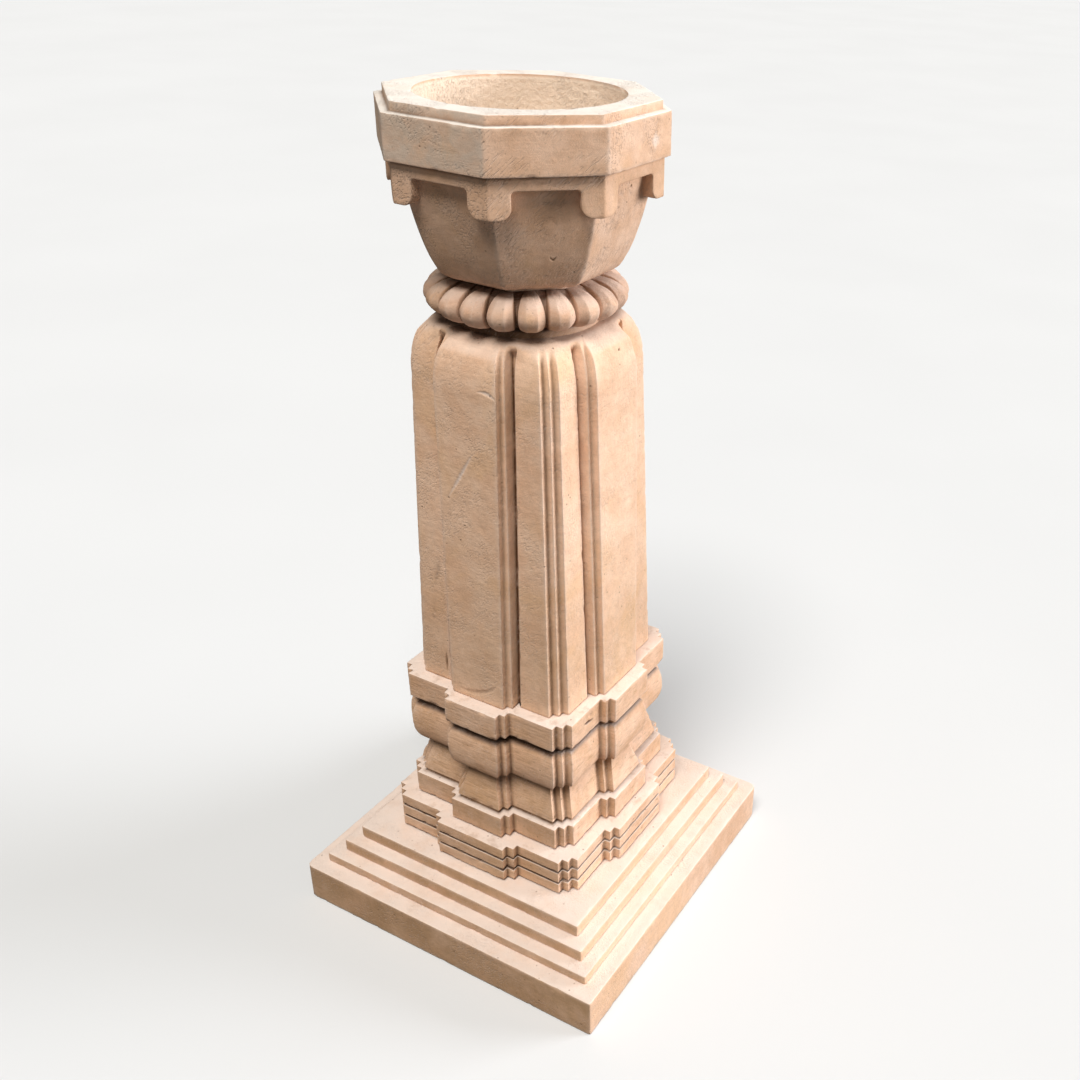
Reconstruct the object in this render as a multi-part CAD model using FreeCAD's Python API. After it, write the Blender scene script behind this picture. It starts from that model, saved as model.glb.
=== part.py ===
import FreeCAD, Part
import math
import os

os.makedirs("parts", exist_ok=True)

# Carved sandstone tulsi planter: stepped square plinth, moulded pedestal courses on a re-entrant plan,
# tapering shaft with a domed head, ring of faceted beads and an octagonal bowl.
# Lengths in millimetres, +Z up, origin on the ground at the middle of the plinth.

# Plinth
slab_side = 395.0
slab_height = 48.0
slab_corner_radius = 9.0
slab_near_corner_radius = 3.0
slab_edge_bevel = 2.0
lower_step_side = 359.5
middle_step_side = 330.5
upper_step_side = 302.0
lower_step_height = 12.0
middle_step_height = 15.8
upper_step_height = 16.2
step_corner_radius = 3.0
step_edge_bevel = 1.2

# Layered course: three thin slabs with raked joints
layered_half = 124.0
layered_bay_half = 45.5
layered_bay_step = 7.3
layered_nib = 9.0
layered_corner_step = 7.5
layer_height = 15.7
joint_height = 2.0
joint_depth = 3.5

# Pedestal courses: splayed, torus and top band
pedestal_half = 110.0
pedestal_bay_half = 34.0
pedestal_bay_step = 7.6
pedestal_nib = 6.5
pedestal_corner_step = 7.4
band_height = 29.5
ledge_width = 5.5
riser_height = 4.0
riser_undercut = 2.5
neck_inset = 14.5
splay_height = 34.4
neck_height = 7.1
torus_height = 53.0
torus_foot_inset = 13.0
torus_head_inset = 6.5
recess_inset = 7.2
recess_height = 9.0
top_band_height = 30.8

# Shaft
shaft_foot_half = 97.0
shaft_foot_bay_half = 33.5
shaft_foot_bay_step = 6.6
shaft_foot_nib = 7.0
shaft_foot_corner_step = 7.3
shaft_neck_half = 88.0
shaft_neck_bay_half = 36.5
shaft_neck_bay_step = 8.0
shaft_neck_nib = 4.5
shaft_neck_corner_step = 6.5
shaft_head_half = 62.0
shaft_head_bay_half = 21.0
shaft_head_bay_step = 5.5
shaft_head_nib = 3.5
shaft_head_corner_step = 4.6
groove_width = 5.0
groove_depth = 6.0
head_groove_width = 11.0
head_groove_depth = 5.0
shaft_straight_height = 348.2
shaft_dome_height = 51.0
dome_crown_cut = 6.0
dome_bevel = 3.0
shaft_seat_radius = 72.0
shaft_seat_height = 6.0

# Bead ring
ring_radius = 99.0
ring_seat_radius = 68.0
ring_height = 36.0
bead_shoulder_radius = 94.5
bead_gap_radius = 84.0

# Bowl
body_height = 116.5
body_top_half = 114.5
bracket_half = 121.3
bracket_band_height = 12.5
drop_height = 37.0
drop_half_width = 21.0
drop_corner_radius = 11.0
bracket_corner_radius = 3.5
rim_half = 126.6
rim_height = 40.8
lip_half = 119.0
lip_height = 8.7
mouth_radius = 95.3
cavity_depth = 130.0
cut_allowance = 20.0

# Steel rod and dowel
rod_radius = 9.0
rod_foot_height = 16.0
rod_in_shaft = 70.0
dowel_radius = 8.0
dowel_in_shaft = 30.0
dowel_in_bowl = 20.0
bore_clearance = 0.3
end_clearance = 1.5

# Shapes without a length of their own
bead_count = 20
bead_turn_angle = 2.3
bead_facet_share = 0.38
bead_shoulder_share = 0.92
bead_end_width_share = 0.6
body_height_shares = (0.0, 0.038, 0.048, 0.085, 0.137, 0.275, 0.43, 0.6, 0.8, 1.0)
body_width_shares = (0.548, 0.548, 0.655, 0.712, 0.755, 0.824, 0.878, 0.925, 0.968, 1.0)
cavity_depth_shares = (0.0, 0.26, 0.72, 1.0)
cavity_radius_shares = (1.0, 1.0, 0.87, 0.58)
splay_height_shares = (0.0, 0.35, 0.7, 1.0)
splay_inset_shares = (0.0, 0.3, 0.74, 1.0)
curve_step_count = 4
bead_step_count = 3
dome_step_count = 5
seat_side_count = 32
flat_angle = 1e-5

# Levels
slab_top = slab_height
lower_step_top = slab_top + lower_step_height
middle_step_top = lower_step_top + middle_step_height
upper_step_top = middle_step_top + upper_step_height
layer_one_top = upper_step_top + layer_height
layer_two_top = layer_one_top + layer_height
layer_three_top = layer_two_top + layer_height
band_top = layer_three_top + band_height
riser_top = band_top + riser_height
splay_top = riser_top + splay_height
neck_top = splay_top + neck_height
torus_top = neck_top + torus_height
recess_top = torus_top + recess_height
pedestal_top = recess_top + top_band_height
dome_foot = pedestal_top + shaft_straight_height
dome_top = dome_foot + shaft_dome_height
shaft_top = dome_top + shaft_seat_height
ring_top = shaft_top + ring_height
rim_foot = ring_top + body_height
rim_top = rim_foot + rim_height
lip_top = rim_top + lip_height

# Plans: pier half width, bay half width, bay step, nib, corner step, groove width, groove depth
layered_plan = (layered_half, layered_bay_half, layered_bay_step, layered_nib, layered_corner_step, 0, 0)
pedestal_plan = (pedestal_half, pedestal_bay_half, pedestal_bay_step, pedestal_nib, pedestal_corner_step, 0, 0)
shaft_foot_plan = (shaft_foot_half, shaft_foot_bay_half, shaft_foot_bay_step, shaft_foot_nib,
                   shaft_foot_corner_step, groove_width, groove_depth)
shaft_neck_plan = (shaft_neck_half, shaft_neck_bay_half, shaft_neck_bay_step, shaft_neck_nib,
                   shaft_neck_corner_step, groove_width, groove_depth)
shaft_head_plan = (shaft_head_half, shaft_head_bay_half, shaft_head_bay_step, shaft_head_nib,
                   shaft_head_corner_step, head_groove_width, head_groove_depth)

UP = FreeCAD.Vector(0, 0, 1)


def at(x, y, z):
    return FreeCAD.Vector(x, y, z)


def save(shape, node):
    shape.exportStep("parts/" + node + ".step")


def quarter(plan):
    """Corners of the re-entrant plan from the bay of one face to the corner shared with the next."""
    half, bay, step, nib, corner, groove, depth = plan
    front = half + step + step
    reed = bay + nib
    edge = half - corner - corner
    side = [(bay, -front), (bay, step - front), (reed, step - front)]
    if groove:
        side += [(reed, depth - half), (reed + groove, depth - half), (reed + groove, -half)]
    else:
        side += [(reed, -half)]
    side += [(edge, -half), (edge, corner - half), (half - corner, corner - half)]
    return side + [(-y, -x) for x, y in reversed(side[:-1])]


def plan_ring(plan, level):
    """Corners of the whole four-fold outline at one level."""
    points = []
    for turn in range(4):
        for x, y in quarter(plan):
            for _ in range(turn):
                x, y = -y, x
            points.append(at(x, y, level))
    return points


def grown(plan, grow):
    """The plan with every face moved out by the same length."""
    return (plan[0] + grow, plan[1] + grow) + plan[2:]


def blended(first, last, share):
    """A plan part of the way from one to another."""
    return tuple(a + (b - a) * share for a, b in zip(first, last))


def flat_face(points):
    return Part.Face(Part.makePolygon(points + points[:1]))


def prism(ring, height):
    return flat_face(ring).extrude(UP * height)


def course(plan, bottom, top):
    return prism(plan_ring(plan, bottom), top - bottom)


def facing(first, second, third):
    return (second - first).cross(third - first)


def facets(corners):
    """One flat face on four corners, or two triangles where they don't lie in one plane."""
    low, right, high, left = corners
    if facing(low, right, high).getAngle(facing(low, high, left)) < flat_angle:
        return [flat_face(corners)]
    return [flat_face([low, right, high]), flat_face([low, high, left])]


def stack(rings):
    """A solid of flat facets through rings of corners, lowest ring first."""
    faces = [flat_face(rings[0]), flat_face(rings[-1])]
    for lower, upper in zip(rings, rings[1:]):
        for number, corner in enumerate(lower):
            faces += facets([lower[number - 1], corner, upper[number], upper[number - 1]])
    shell = Part.Shell(faces)
    shell.sewShape()
    solid = Part.Solid(shell)
    solid.fix(0, 0, 0)
    return solid


def joined(shapes):
    body = shapes[0].fuse(shapes[1:])
    return body.removeSplitter()


def polygon(reach, count, level):
    """Corners of a regular polygon with one face square to +X."""
    corners = []
    for number in range(count):
        angle = math.pi * (2 * number + 1) / count
        corners.append(at(reach * math.cos(angle), reach * math.sin(angle), level))
    return corners


def octagon(half, level):
    """A regular octagon with faces square to the plinth, by its half width across the faces."""
    return polygon(half / math.cos(math.pi / 8), 8, level)


def bore(radius, bottom, top):
    return Part.makeCylinder(radius + bore_clearance, top - bottom, at(0, 0, bottom))


def rod_hole(bottom, top):
    """The through bore for the long rod."""
    return bore(rod_radius, bottom, top)


def is_near_right(edge):
    """Whether an edge is the upright one where the +X face of a box meets its -Y face."""
    ends = [vertex.Point for vertex in edge.Vertexes]
    upright = abs(ends[0].z - ends[-1].z) > abs(ends[0].x - ends[-1].x) + abs(ends[0].y - ends[-1].y)
    return upright and all(abs(end.x + end.y) < slab_edge_bevel and end.x > 0 for end in ends)


def square_slab(side, bottom, height, corner_radius, near_radius, edge_bevel):
    """A square slab with rounded upright corners, the near right one by itself, and a softened top edge."""
    block = Part.makeBox(side, side, height, at(-side / 2, -side / 2, bottom))
    uprights = [edge for edge in block.Edges if abs(edge.Vertexes[0].Z - edge.Vertexes[1].Z) > height / 2]
    block = block.makeFillet(corner_radius, [edge for edge in uprights if not is_near_right(edge)])
    block = block.makeFillet(near_radius, [edge for edge in block.Edges if is_near_right(edge)])
    top = bottom + height
    rim = [edge for edge in block.Edges if all(abs(v.Z - top) < height / 100 for v in edge.Vertexes)]
    return block.makeChamfer(edge_bevel, rim)


def make_plinth():
    """The thick slab and the three thin steps on it, each bored for the rod."""
    slab = square_slab(slab_side, 0, slab_height, slab_corner_radius, slab_near_corner_radius, slab_edge_bevel)
    slab = slab.cut(rod_hole(rod_foot_height, slab_top))
    save(slab, "plinth_slab")
    levels = (slab_top, lower_step_top, middle_step_top, upper_step_top)
    sides = (lower_step_side, middle_step_side, upper_step_side)
    nodes = ("plinth_step_lower", "plinth_step_middle", "plinth_step_upper")
    for bottom, top, side, node in zip(levels, levels[1:], sides, nodes):
        step = square_slab(side, bottom, top - bottom, step_corner_radius, step_corner_radius, step_edge_bevel)
        save(step.cut(rod_hole(bottom, top)), node)


def raked_layer(plan, bottom, top):
    """A flat course whose lowest edge is set back, leaving a dark joint line over the one below."""
    foot = course(grown(plan, -joint_depth), bottom, bottom + joint_height)
    return joined([foot, course(plan, bottom + joint_height, top)])


def make_layers():
    levels = (upper_step_top, layer_one_top, layer_two_top, layer_three_top)
    nodes = ("layered_course_lower", "layered_course_middle", "layered_course_upper")
    for bottom, top, node in zip(levels, levels[1:], nodes):
        layer = raked_layer(layered_plan, bottom, top)
        save(layer.cut(rod_hole(bottom, top)), node)


def make_splayed_course():
    """Band, ledge, riser, hollow splay and neck in one stone."""
    band = raked_layer(pedestal_plan, layer_three_top, band_top)
    riser = course(grown(pedestal_plan, -ledge_width - riser_undercut), band_top, riser_top)
    run = neck_inset - ledge_width
    rings = []
    for rise_share, inset_share in zip(splay_height_shares, splay_inset_shares):
        inset = ledge_width + run * inset_share
        rings.append(plan_ring(grown(pedestal_plan, -inset), riser_top + splay_height * rise_share))
    neck = course(grown(pedestal_plan, -neck_inset), splay_top, neck_top)
    stone = joined([band, riser, stack(rings), neck])
    save(stone.cut(rod_hole(layer_three_top, neck_top)), "splayed_course")


def make_torus_course():
    """A half round all along the re-entrant plan."""
    rings = []
    for number in range(2 * curve_step_count + 1):
        angle = math.pi * (number / (2 * curve_step_count) - 1 / 2)
        end_inset = torus_foot_inset if angle < 0 else torus_head_inset
        level = neck_top + torus_height * (1 + math.sin(angle)) / 2
        rings.append(plan_ring(grown(pedestal_plan, -end_inset * (1 - math.cos(angle))), level))
    stone = stack(rings)
    save(stone.cut(rod_hole(neck_top, torus_top)), "torus_course")


def make_top_band_course():
    recess = course(grown(pedestal_plan, -recess_inset), torus_top, recess_top)
    band = course(pedestal_plan, recess_top, pedestal_top)
    stone = joined([recess, band])
    save(stone.cut(rod_hole(torus_top, pedestal_top)), "top_band_course")


def dome_rings():
    """The domed head: an elliptic turn-in of every bay, pier and reed, cut off level below its crown."""
    curve_height = shaft_dome_height + dome_crown_cut
    last = math.asin((shaft_dome_height - dome_bevel) / curve_height)
    rings = []
    for number in range(dome_step_count + 1):
        angle = last * number / dome_step_count
        plan = blended(shaft_neck_plan, shaft_head_plan, 1 - math.cos(angle))
        rings.append(plan_ring(plan, dome_foot + curve_height * math.sin(angle)))
    return rings + [plan_ring(grown(plan, -dome_bevel), dome_top)]


def make_shaft():
    """Straight tapering shaft, its domed head and the round seat for the bead ring."""
    seat = prism(polygon(shaft_seat_radius, seat_side_count, dome_top), shaft_seat_height)
    stone = joined([stack([plan_ring(shaft_foot_plan, pedestal_top)] + dome_rings()), seat])
    stone = stone.cut(rod_hole(pedestal_top, pedestal_top + rod_in_shaft + end_clearance))
    save(stone.cut(bore(dowel_radius, shaft_top - dowel_in_shaft, shaft_top)), "shaft")


def bead_ring_corners(size_share, width_share, level):
    """Corners of the whole ring of faceted beads at one level."""
    pitch = 2 * math.pi / bead_count
    shoulder = pitch / 2 * bead_shoulder_share * width_share
    facet = pitch / 2 * bead_facet_share * width_share
    points = []
    for number in range(bead_count):
        middle = number * pitch + math.radians(bead_turn_angle)
        spots = ((-pitch / 2, bead_gap_radius), (-shoulder, bead_shoulder_radius), (-facet, ring_radius),
                 (facet, ring_radius), (shoulder, bead_shoulder_radius))
        for offset, radius in spots:
            reach = radius * size_share
            points.append(at(reach * math.cos(middle + offset), reach * math.sin(middle + offset), level))
    return points


def make_bead_ring():
    """A round moulding gadrooned into faceted beads that narrow to both seats."""
    seat_share = ring_seat_radius / ring_radius
    rings = []
    for number in range(2 * bead_step_count + 1):
        angle = math.pi * (number / (2 * bead_step_count) - 1 / 2)
        size_share = seat_share + (1 - seat_share) * math.cos(angle)
        width_share = bead_end_width_share + (1 - bead_end_width_share) * math.sqrt(abs(math.cos(angle)))
        level = shaft_top + ring_height * (1 + math.sin(angle)) / 2
        rings.append(bead_ring_corners(size_share, width_share, level))
    ring = stack(rings)
    save(ring.cut(bore(dowel_radius, shaft_top, ring_top)), "bead_ring")


def face_opening():
    """The space between two drops on one octagon face, seen square on, run through the band."""
    face_half = bracket_half * math.tan(math.pi / 8)
    gap_half = face_half - drop_half_width
    foot = rim_foot - drop_height
    brow = rim_foot - bracket_band_height
    bend = foot + drop_corner_radius
    wide = gap_half + drop_corner_radius
    turn = bracket_corner_radius
    diagonal = math.cos(math.pi / 4)
    start = body_top_half - cut_allowance

    def spot(across, level):
        return at(start, across, level)

    def right(across, level):
        return spot(across, level), spot(-across, level)

    low, low_left = right(wide, foot)
    waist, waist_left = right(gap_half, bend)
    belly, belly_left = right(wide - drop_corner_radius * diagonal, bend - drop_corner_radius * diagonal)
    high, high_left = right(gap_half, brow - turn)
    crown, crown_left = right(gap_half - turn + turn * diagonal, brow - turn + turn * diagonal)
    brow_right, brow_left = right(gap_half - turn, brow)
    edges = [Part.makeLine(low_left, low), Part.Arc(low, belly, waist).toShape(), Part.makeLine(waist, high),
             Part.Arc(high, crown, brow_right).toShape(), Part.makeLine(brow_right, brow_left),
             Part.Arc(brow_left, crown_left, high_left).toShape(), Part.makeLine(high_left, waist_left),
             Part.Arc(waist_left, belly_left, low_left).toShape()]
    return Part.Face(Part.Wire(edges)).extrude(at(cut_allowance + cut_allowance, 0, 0))


def bracket_band():
    """The band under the rim with a round-ended drop wrapped round every corner."""
    band = prism(octagon(bracket_half, rim_foot - drop_height), drop_height)
    opening = face_opening()
    cuts = []
    for number in range(8):
        cut = opening.copy()
        cut.rotate(at(0, 0, 0), UP, number * 45)
        cuts.append(cut)
    return band.cut(cuts)


def cavity():
    """The planting hollow: steep wall drawn in to a flat floor."""
    points = [at(0, 0, lip_top)]
    for depth_share, radius_share in zip(cavity_depth_shares, cavity_radius_shares):
        points.append(at(mouth_radius * radius_share, 0, lip_top - cavity_depth * depth_share))
    points.append(at(0, 0, lip_top - cavity_depth))
    return flat_face(points).revolve(at(0, 0, 0), UP, 360)


def make_bowl():
    rings = []
    for rise_share, width_share in zip(body_height_shares, body_width_shares):
        rings.append(octagon(body_top_half * width_share, ring_top + body_height * rise_share))
    rim = prism(octagon(rim_half, rim_foot), rim_height)
    lip = prism(octagon(lip_half, rim_top), lip_height)
    stone = joined([stack(rings), bracket_band(), rim, lip])
    stone = stone.cut(cavity())
    save(stone.cut(bore(dowel_radius, ring_top, ring_top + dowel_in_bowl + end_clearance)), "bowl")


def make_steel():
    rod = Part.makeCylinder(rod_radius, pedestal_top + rod_in_shaft - rod_foot_height, at(0, 0, rod_foot_height))
    save(rod, "core_rod")
    dowel_foot = shaft_top - dowel_in_shaft
    dowel_head = ring_top + dowel_in_bowl
    save(Part.makeCylinder(dowel_radius, dowel_head - dowel_foot, at(0, 0, dowel_foot)), "bowl_dowel")


make_plinth()
make_layers()
make_splayed_course()
make_torus_course()
make_top_band_course()
make_shaft()
make_bead_ring()
make_bowl()
make_steel()
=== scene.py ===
import math

import bmesh
import bpy
from mathutils import Matrix, Vector
from mathutils.geometry import intersect_point_line
from mathutils.noise import noise as noise_at


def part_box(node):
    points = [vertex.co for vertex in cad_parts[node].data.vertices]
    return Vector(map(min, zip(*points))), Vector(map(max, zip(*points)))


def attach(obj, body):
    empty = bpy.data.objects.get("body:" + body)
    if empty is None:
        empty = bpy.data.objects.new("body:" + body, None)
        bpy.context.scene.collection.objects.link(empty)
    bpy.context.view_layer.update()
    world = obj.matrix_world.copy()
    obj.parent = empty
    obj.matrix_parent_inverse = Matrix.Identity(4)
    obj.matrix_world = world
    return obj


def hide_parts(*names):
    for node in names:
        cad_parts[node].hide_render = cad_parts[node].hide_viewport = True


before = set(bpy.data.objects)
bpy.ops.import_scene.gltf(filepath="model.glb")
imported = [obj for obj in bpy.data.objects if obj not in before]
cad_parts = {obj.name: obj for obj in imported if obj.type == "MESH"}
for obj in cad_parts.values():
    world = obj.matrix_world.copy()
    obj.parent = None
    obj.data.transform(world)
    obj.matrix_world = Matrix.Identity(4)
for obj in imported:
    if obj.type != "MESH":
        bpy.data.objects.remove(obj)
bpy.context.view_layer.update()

# Carved sandstone tulsi planter. Every stone is rebuilt as a dressed block: the frame gives its levels
# and widths, arrises are worn round, faces carry the waviness of hand work, pits and small chips.
# Lengths in metres, +Z up, origin on the ground at the middle of the plinth.

# Wear of the stone, and the reach of painted shade
arris_radius = 0.0013
step_arris_radius = 0.0017
bead_arris_radius = 0.001
bowl_arris_radius = 0.0019
plinth_corner_radius = 0.009
plinth_near_corner_radius = 0.003
step_corner_radius = 0.003
mesh_pitch = 0.0034
short_side = 0.009
bowl_mesh_pitch = 0.0026
bed_depth = 0.034
# Painted shade: fade and reach of the darkening in joints, recesses and undersides of the courses
painted_shade_fade = 0.0006
painted_shade_reach = 0.004
least_turn = 0.26
corner_reach_share = 0.38
calm_corner_share = 0.4
sharp_turn = 0.5

# Pedestal plans: widths that the frame's boxes don't give
layered_bay_half = 0.0455
layered_bay_step = 0.0073
layered_nib = 0.009
layered_corner_step = 0.0075
pedestal_bay_half = 0.034
pedestal_bay_step = 0.0076
pedestal_nib = 0.0065
pedestal_corner_step = 0.0074
joint_height = 0.0020
joint_depth = 0.0035

# Pedestal profiles
band_height = 0.0295
ledge_width = 0.0055
riser_height = 0.0040
riser_undercut = 0.0025
neck_inset = 0.0145
splay_height = 0.0344
torus_foot_inset = 0.013
torus_head_inset = 0.0065
recess_inset = 0.0072
recess_height = 0.009
splay_shares = ((0.0, 0.0), (0.2, 0.13), (0.42, 0.38), (0.64, 0.67), (0.84, 0.89), (1.0, 1.0))
torus_step_count = 22

# Shaft: half, bay half, bay step, nib, corner step, groove width and depth, at foot, neck and head
shaft_foot_plan = (0.097, 0.0335, 0.0066, 0.007, 0.0073, 0.005, 0.006)
shaft_neck_plan = (0.088, 0.0365, 0.008, 0.0045, 0.0065, 0.005, 0.006)
shaft_head_plan = (0.062, 0.021, 0.0055, 0.0035, 0.0046, 0.011, 0.005)
shaft_dome_height = 0.051
dome_crown_cut = 0.006
dome_crown_height = 0.006
dome_merge_height = 0.015
collar_power = 3.4
# Grime with painted shade in the shaft's steps and grooves, and painted shade with some dirt on the crown and
# the seat
shallow_grime_and_shade_share = 0.45
corner_grime_and_shade_share = 0.65
crown_shade_and_dirt = 0.6
seat_shade_and_dirt = 0.7
shaft_seat_radius = 0.072
shaft_seat_height = 0.006
dome_step_count = 26
crown_step_count = 8
drum_part_count = 4
drum_side_count = 120

# Bead ring
bead_count = 20
bead_facet_share = 0.38
bead_shoulder_share = 0.9
bead_turn = math.radians(2.3)
bead_width_share = 0.985
bead_end_width_share = 0.5
bead_radius = 0.099
bead_shoulder_radius = 0.093
bead_gap_radius = 0.084
bead_seat_radius = 0.068
bead_inner_radius = 0.05
bead_step_count = 16
bead_drum_sides = 6
bead_bulge_power = 0.75
# Bead gaps and bead ends: painted shade, with some grime at the seats
bead_shade_start = 0.4
bead_shade_span = 0.45
bead_seat_start = 0.86

# Bowl
bowl_body_height = 0.1165
bowl_body_half = 0.1145
bracket_half = 0.1213
bracket_height = 0.0125
bracket_back = 0.018
drop_height = 0.037
drop_half_width = 0.021
drop_corner_radius = 0.011
bracket_corner_radius = 0.0035
rim_half = 0.1266
rim_height = 0.0408
lip_half = 0.119
mouth_radius = 0.0953
hollow_depth = 0.13
hollow_work = 3.2
hollow_work_depth = 0.005
body_part_count = 5
drop_arc_count = 6
band_cut_count = 88
# Painted shade in the joint under the rim
under_rim_shade = 0.6
seat_shares = ((0.0, 0.548), (0.038, 0.548))
body_shares = ((0.048, 0.655), (0.085, 0.712), (0.137, 0.755), (0.275, 0.824),
               (0.43, 0.878), (0.6, 0.925), (0.8, 0.968), (1.0, 1.0))
hollow_shares = ((0.26, 1.0), (0.42, 0.97), (0.58, 0.925), (0.72, 0.87), (0.86, 0.76), (0.95, 0.67),
                 (1.0, 0.58))

# Colours and surface of the stone and the steel
pale_peach = (0.88, 0.615, 0.462, 1)
warm_tan = (0.73, 0.46, 0.303, 1)
golden_stain = (0.81, 0.505, 0.27, 1)
# Dust tints, also the colour of the painted highlight on worn arrises
cream_dust_and_highlight = (0.84, 0.735, 0.69, 1)
white_dust_and_highlight = (0.93, 0.9, 0.88, 1)
# Grime with painted shade: the colour laid into joints, grooves, recesses and undersides
grime_and_shade_brown = (0.11, 0.05, 0.022, 1)
bedding_brown = (0.33, 0.18, 0.085, 1)
hole_brown = (0.16, 0.085, 0.045, 1)
steel_grey = (0.5, 0.5, 0.51, 1)
steel_shadow = (0.36, 0.33, 0.3, 1)
hole_shade = 0.55
scratch_shade = 0.16
bloom_direction = (-0.6, -0.8, 0.0)
rasp_directions = ((0.0625, 0.0625, 0.0884), (-0.5, -0.5, 0.7071), (0.7071, -0.7071, 0.0))

# Marks in the photograph: face, place across and above the foot, length, lean, rise, width, depth, scar
front_face = math.radians(-90)
corner_face = math.radians(-45)
right_face = 0.0
upright = math.radians(90)
dot = (0.0, 0.0, 0.0)
face_share = 0.3
mark_cuts = 3
arc_half_count = 3
mark_end_share = 0.35
raggedness = 0.45
ragged_scale = 420
pale_scratch = (front_face, (-0.009, 0.262), (0.06, math.radians(60), 0.0), (0.0028, 0.0008), 0.75)
pale_curl = (front_face, (0.027, 0.355), (0.022, math.radians(-12), -0.003), (0.0026, 0.0007), 0.7)
foot_tool_mark = (front_face, (0.003, 0.011), (0.05, math.radians(20), 0.006), (0.0042, 0.0011), -0.3)
long_stain = (front_face, (-0.057, 0.132), (0.032, math.radians(76), 0.0), (0.0055, 0.0003), -0.28)
short_stain = (front_face, (-0.066, 0.075), (0.008, upright, 0.0), (0.004, 0.0004), -0.3)
pier_crack = (front_face, (-0.051, 0.023), (0.025, upright, 0.0), (0.0022, 0.0012), -0.9)
shoulder_pit = (right_face, (0.01, 0.379), dot, (0.0017, 0.0018), -1.1)
pier_pit = (right_face, (-0.068, 0.18), dot, (0.0018, 0.0008), -0.5)
band_crack = (right_face, (-0.0635, 0.024), (0.016, math.radians(-10), 0.0), (0.0026, 0.0024), -1.3)
bowl_nick = (corner_face, (0.0085, 0.038), (0.0055, 0.0, 0.003), (0.0016, 0.0009), -0.6)
bowl_pit = (right_face, (0.009, 0.0955), dot, (0.0017, 0.0016), -1.1)
rim_smear = (right_face, (0.024, 0.135), (0.012, upright, 0.0), (0.009, 0.0004), 0.45)
shaft_marks = (pale_scratch, pale_curl, foot_tool_mark, long_stain, short_stain, pier_crack, shoulder_pit,
               pier_pit)
top_band_marks = (band_crack,)
bowl_marks = (bowl_nick, bowl_pit, rim_smear)

# Camera of the photograph
camera_place = (0.6675, -0.9075, 1.0920)
camera_turn = math.radians(26.242)
camera_pitch = math.radians(28.009)
camera_roll = math.radians(3.042)
camera_lens = 39.565
camera_shift = (-0.16659, -0.03032)

# Stage: direction that each lamp shines from, and strengths
key_direction = (0.79, 0.58, 0.16)
key_strength = 4.0
key_softness = 0.55
top_direction = (0.14, -0.43, 0.89)
top_strength = 2.92
top_softness = 0.5
world_strength = 0.18
world_seen_strength = 0.85
floor_reach = 30.0
floor_bounce = 0.1
floor_tones = (0.74, 0.76)
floor_green_share = 1.06
floor_blue_share = 1.15
key_color = (1.0, 0.98, 0.96)
top_color = (1.0, 0.935, 0.84)
sky_light = (1.0, 0.93, 0.82, 1)
sky_seen = (0.98, 0.985, 1.0, 1)


# Node trees

def node(tree, kind, inputs=None, **settings):
    """A node with its settings and inputs, where an input is a value or another node's output."""
    made = tree.nodes.new(kind)
    for name, value in settings.items():
        setattr(made, name, value)
    for key, value in (inputs or {}).items():
        if isinstance(value, bpy.types.NodeSocket):
            tree.links.new(value, made.inputs[key])
        else:
            made.inputs[key].default_value = value
    return made


def maths(tree, operation, first, second=0.0, clamp=False):
    made = node(tree, "ShaderNodeMath", {0: first, 1: second}, operation=operation, use_clamp=clamp)
    return made.outputs[0]


def product(tree, first, *others, clamp=False):
    """All the values multiplied. Clamp holds the last product between 0 and 1."""
    for number, other in enumerate(others, 1):
        first = maths(tree, "MULTIPLY", first, other, clamp and number == len(others))
    return first


def total(tree, first, *others):
    for other in others:
        first = maths(tree, "ADD", first, other)
    return first


def mix(tree, factor, first, second, **settings):
    """The second colour laid over the first, by a factor between 0 and 1."""
    sockets = {"Factor": factor, 6: first, 7: second}
    return node(tree, "ShaderNodeMix", sockets, data_type="RGBA", **settings).outputs[2]


def axis(tree, vector, number):
    return node(tree, "ShaderNodeSeparateXYZ", {0: vector}).outputs[number]


def aligned(tree, vector, direction):
    """How far a vector reaches along a direction."""
    return node(tree, "ShaderNodeVectorMath", {0: vector, 1: direction}, operation="DOT_PRODUCT").outputs[1]


def stretched(tree, vector, sizes):
    return node(tree, "ShaderNodeVectorMath", {0: vector, 1: sizes}, operation="MULTIPLY").outputs[0]


def object_place(tree):
    return node(tree, "ShaderNodeTexCoord").outputs["Object"]


def surface_normal(tree):
    return node(tree, "ShaderNodeNewGeometry").outputs["Normal"]


def painted_value(tree, label):
    """The value that the mesh keeps under a label, for a material."""
    return node(tree, "ShaderNodeAttribute", attribute_name=label).outputs["Fac"]


def kept_value(tree, label):
    """The value that the mesh keeps under a label, for Geometry Nodes."""
    sockets = {"Name": label}
    return node(tree, "GeometryNodeInputNamedAttribute", sockets, data_type="FLOAT").outputs["Attribute"]


def ramp(tree, value, low, high, to_low=0.0, to_high=1.0):
    """A smooth step of value from low to high."""
    sockets = {"Value": value, "From Min": low, "From Max": high, "To Min": to_low, "To Max": to_high}
    made = node(tree, "ShaderNodeMapRange", sockets, interpolation_type="SMOOTHSTEP")
    return made.outputs["Result"]


def noise(tree, place, size, detail=2.0, roughness=0.5, distortion=0.0):
    """Noise between 0 and 1 whose grains are about size across. Size is a length or a socket of one."""
    scale = maths(tree, "DIVIDE", 1.0, size) if isinstance(size, bpy.types.NodeSocket) else 1.0 / size
    sockets = {"Vector": place, "Scale": scale, "Detail": detail, "Roughness": roughness,
               "Distortion": distortion}
    return node(tree, "ShaderNodeTexNoise", sockets).outputs["Fac"]


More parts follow.
